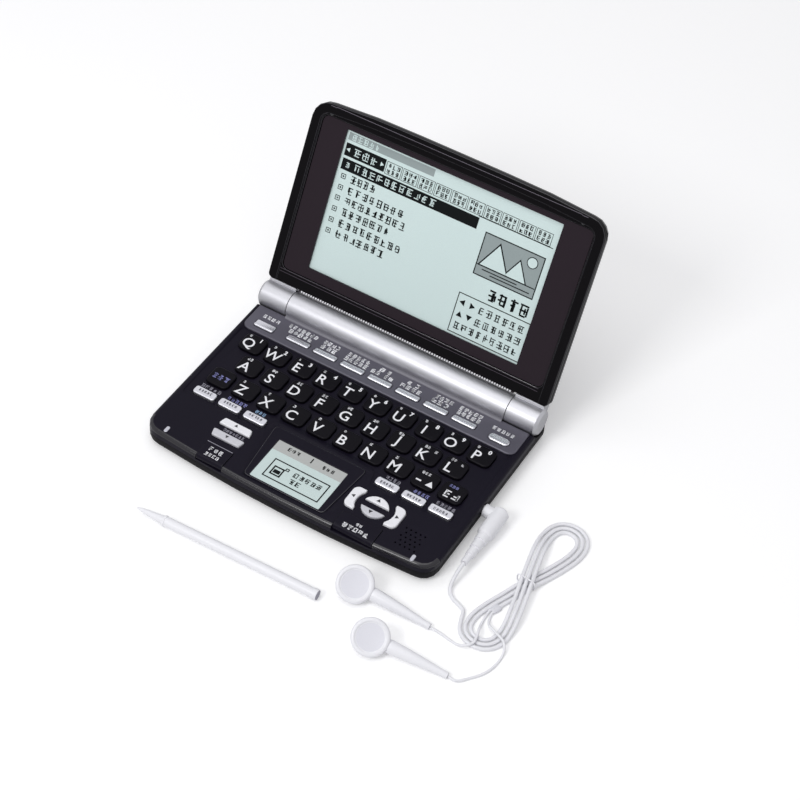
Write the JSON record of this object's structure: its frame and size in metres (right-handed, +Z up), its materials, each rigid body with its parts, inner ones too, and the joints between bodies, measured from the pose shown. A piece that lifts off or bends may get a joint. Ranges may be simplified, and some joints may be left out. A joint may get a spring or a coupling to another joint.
{
  "type": "electronic dictionary",
  "caption": "Clamshell electronic dictionary in black and silver, open, with keyboard, touch panel, white earphones plugged in and a white stylus beside it.",
  "frame": {"origin": "middle of the flat underside of the base, the face that the rubber feet stand out of", "axes": "+X to the user's right, +Y away from the user towards the hinge, +Z up from the table"},
  "size_m": [0.1954, 0.1906, 0.102],
  "materials": {
    "black_shell": "satin",
    "gloss_shell": "gloss",
    "screen_surround": "satin",
    "grey_strip": "satin",
    "silver_paint": "satin",
    "silver_key": "satin",
    "white_plastic": "satin",
    "display": "satin",
    "board": "satin",
    "dark_rubber": "matte",
    "steel": "satin"
  },
  "bodies": {
    "base": {"lower_case": "black_shell", "upper_case": "black_shell", "function_strip": "grey_strip", "hinge_barrel": "silver_paint", "panel_surround": "black_shell", "touch_panel": "display", "main_board": "board", "keypad_mat": "dark_rubber", "speaker": "steel", "earphone_jack": "dark_rubber", "battery_left": "steel", "battery_right": "steel", "foot_front_left": "dark_rubber", "foot_front_right": "dark_rubber", "foot_rear_left": "dark_rubber", "foot_rear_right": "dark_rubber", "hinge_pin_left": "steel", "hinge_pin_right": "steel"},
    "lid": {"lid_frame": "gloss_shell", "lid_cover": "gloss_shell", "screen_bezel": "screen_surround", "main_screen": "display", "hinge_cap_left": "silver_paint", "hinge_cap_right": "silver_paint", "lid_trim": "silver_paint"},
    "battery_cover": {"battery_cover": "black_shell"},
    "earphones": {"earphone_plug": "white_plastic", "earphone_cord": "white_plastic", "cord_hank": "white_plastic", "lead_a": "white_plastic", "lead_b": "white_plastic", "earbud_a": "white_plastic", "earbud_b": "white_plastic"},
    "stylus": {"stylus": "white_plastic"},
    "power_key": {"power_key": "silver_key"},
    "function_key_1": {"function_key_1": "silver_key"},
    "function_key_2": {"function_key_2": "silver_key"},
    "function_key_3": {"function_key_3": "silver_key"},
    "function_key_4": {"function_key_4": "silver_key"},
    "function_key_5": {"function_key_5": "silver_key"},
    "function_key_6": {"function_key_6": "silver_key"},
    "function_key_7": {"function_key_7": "silver_key"},
    "jump_key": {"jump_key": "silver_key"},
    "silver_key_left_1": {"silver_key_left_1": "silver_key"},
    "silver_key_left_2": {"silver_key_left_2": "silver_key"},
    "silver_key_left_3": {"silver_key_left_3": "silver_key"},
    "silver_key_right_1": {"silver_key_right_1": "silver_key"},
    "silver_key_right_2": {"silver_key_right_2": "silver_key"},
    "silver_key_right_3": {"silver_key_right_3": "silver_key"},
    "scroll_key_up": {"scroll_key_up": "white_plastic"},
    "scroll_key_down": {"scroll_key_down": "white_plastic"},
    "nav_key_left": {"nav_key_left": "white_plastic"},
    "nav_key_right": {"nav_key_right": "white_plastic"},
    "nav_key_up": {"nav_key_up": "white_plastic"},
    "nav_key_down": {"nav_key_down": "white_plastic"},
    "back_key": {"back_key": "black_shell"},
    "enter_key": {"enter_key": "black_shell"},
    "letter_row_top": {"letter_row_top": "black_shell"},
    "letter_row_middle": {"letter_row_middle": "black_shell"},
    "letter_row_bottom": {"letter_row_bottom": "black_shell"}
  },
  "joints": [
    {"name": "lid_hinge", "type": "hinge", "parent": "base", "child": "lid", "pos_m": [0, 0.04605, 0.0125], "axis": [1, 0, 0], "range_deg": [-16.5, 116.9]},
    {"name": "battery_cover_slide", "type": "slide", "parent": "base", "child": "battery_cover", "axis": [0, 1, 0], "range_m": [0, 0.012]},
    {"name": "earphone_pull", "type": "slide", "parent": "base", "child": "earphones", "axis": [1, 0, 0], "range_m": [0, 0.0155]},
    {"name": "stylus_lift", "type": "slide", "parent": "base", "child": "stylus", "axis": [0, 0, 1], "range_m": [0, 0.06]},
    {"name": "power_key_press", "type": "slide", "parent": "base", "child": "power_key", "axis": [0, 0, -1], "range_m": [0, 0.0006], "stiffness_N_per_m": 900},
    {"name": "function_key_1_press", "type": "slide", "parent": "base", "child": "function_key_1", "axis": [0, 0, -1], "range_m": [0, 0.0006], "stiffness_N_per_m": 900},
    {"name": "function_key_2_press", "type": "slide", "parent": "base", "child": "function_key_2", "axis": [0, 0, -1], "range_m": [0, 0.0006], "stiffness_N_per_m": 900},
    {"name": "function_key_3_press", "type": "slide", "parent": "base", "child": "function_key_3", "axis": [0, 0, -1], "range_m": [0, 0.0006], "stiffness_N_per_m": 900},
    {"name": "function_key_4_press", "type": "slide", "parent": "base", "child": "function_key_4", "axis": [0, 0, -1], "range_m": [0, 0.0006], "stiffness_N_per_m": 900},
    {"name": "function_key_5_press", "type": "slide", "parent": "base", "child": "function_key_5", "axis": [0, 0, -1], "range_m": [0, 0.0006], "stiffness_N_per_m": 900},
    {"name": "function_key_6_press", "type": "slide", "parent": "base", "child": "function_key_6", "axis": [0, 0, -1], "range_m": [0, 0.0006], "stiffness_N_per_m": 900},
    {"name": "function_key_7_press", "type": "slide", "parent": "base", "child": "function_key_7", "axis": [0, 0, -1], "range_m": [0, 0.0006], "stiffness_N_per_m": 900},
    {"name": "jump_key_press", "type": "slide", "parent": "base", "child": "jump_key", "axis": [0, 0, -1], "range_m": [0, 0.0006], "stiffness_N_per_m": 900},
    {"name": "silver_key_left_1_press", "type": "slide", "parent": "base", "child": "silver_key_left_1", "axis": [0, 0, -1], "range_m": [0, 0.0006], "stiffness_N_per_m": 900},
    {"name": "silver_key_left_2_press", "type": "slide", "parent": "base", "child": "silver_key_left_2", "axis": [0, 0, -1], "range_m": [0, 0.0006], "stiffness_N_per_m": 900},
    {"name": "silver_key_left_3_press", "type": "slide", "parent": "base", "child": "silver_key_left_3", "axis": [0, 0, -1], "range_m": [0, 0.0006], "stiffness_N_per_m": 900},
    {"name": "silver_key_right_1_press", "type": "slide", "parent": "base", "child": "silver_key_right_1", "axis": [0, 0, -1], "range_m": [0, 0.0006], "stiffness_N_per_m": 900},
    {"name": "silver_key_right_2_press", "type": "slide", "parent": "base", "child": "silver_key_right_2", "axis": [0, 0, -1], "range_m": [0, 0.0006], "stiffness_N_per_m": 900},
    {"name": "silver_key_right_3_press", "type": "slide", "parent": "base", "child": "silver_key_right_3", "axis": [0, 0, -1], "range_m": [0, 0.0006], "stiffness_N_per_m": 900},
    {"name": "scroll_key_up_press", "type": "slide", "parent": "base", "child": "scroll_key_up", "axis": [0, 0, -1], "range_m": [0, 0.0006], "stiffness_N_per_m": 900},
    {"name": "scroll_key_down_press", "type": "slide", "parent": "base", "child": "scroll_key_down", "axis": [0, 0, -1], "range_m": [0, 0.0006], "stiffness_N_per_m": 900},
    {"name": "nav_key_left_press", "type": "slide", "parent": "base", "child": "nav_key_left", "axis": [0, 0, -1], "range_m": [0, 0.0006], "stiffness_N_per_m": 900},
    {"name": "nav_key_right_press", "type": "slide", "parent": "base", "child": "nav_key_right", "axis": [0, 0, -1], "range_m": [0, 0.0006], "stiffness_N_per_m": 900},
    {"name": "nav_key_up_press", "type": "slide", "parent": "base", "child": "nav_key_up", "axis": [0, 0, -1], "range_m": [0, 0.0006], "stiffness_N_per_m": 900},
    {"name": "nav_key_down_press", "type": "slide", "parent": "base", "child": "nav_key_down", "axis": [0, 0, -1], "range_m": [0, 0.0006], "stiffness_N_per_m": 900},
    {"name": "back_key_press", "type": "slide", "parent": "base", "child": "back_key", "axis": [0, 0, -1], "range_m": [0, 0.0005], "stiffness_N_per_m": 900},
    {"name": "enter_key_press", "type": "slide", "parent": "base", "child": "enter_key", "axis": [0, 0, -1], "range_m": [0, 0.0005], "stiffness_N_per_m": 900},
    {"name": "letter_row_top_press", "type": "slide", "parent": "base", "child": "letter_row_top", "axis": [0, 0, -1], "range_m": [0, 0.0006], "stiffness_N_per_m": 2500},
    {"name": "letter_row_middle_press", "type": "slide", "parent": "base", "child": "letter_row_middle", "axis": [0, 0, -1], "range_m": [0, 0.0006], "stiffness_N_per_m": 2500},
    {"name": "letter_row_bottom_press", "type": "slide", "parent": "base", "child": "letter_row_bottom", "axis": [0, 0, -1], "range_m": [0, 0.0006], "stiffness_N_per_m": 2500}
  ]
}
